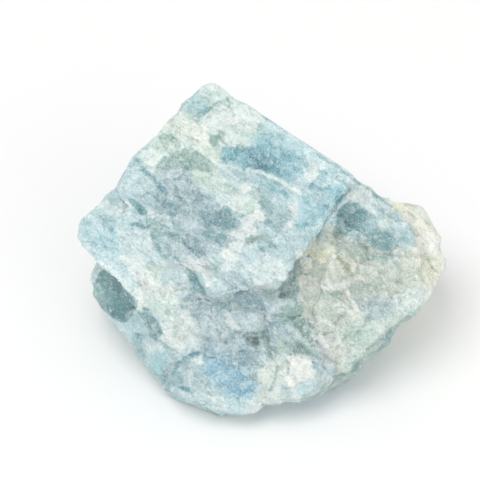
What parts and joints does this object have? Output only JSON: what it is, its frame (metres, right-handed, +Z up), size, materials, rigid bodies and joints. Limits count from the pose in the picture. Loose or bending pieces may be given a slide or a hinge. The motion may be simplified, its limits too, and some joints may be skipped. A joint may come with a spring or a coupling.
{
  "type": "rough aquamarine crystal",
  "caption": "Rough lump of massive blue-green aquamarine with a raised slab, broken ledges and a pale feldspar patch, resting on a flat break.",
  "frame": {"origin": "middle of the lump's bounding box, on the surface it rests on", "axes": "+Z up, +X to the right along the lump's length, the broad broken face looks along -Y and up"},
  "size_m": [0.0528, 0.0438, 0.0314],
  "materials": {
    "aquamarine": "milky translucent beryl with a waxy to vitreous broken surface, white and grey patches and a cream feldspar end"
  },
  "bodies": {
    "root": {"aquamarine_crystal": "aquamarine"}
  },
  "joints": []
}
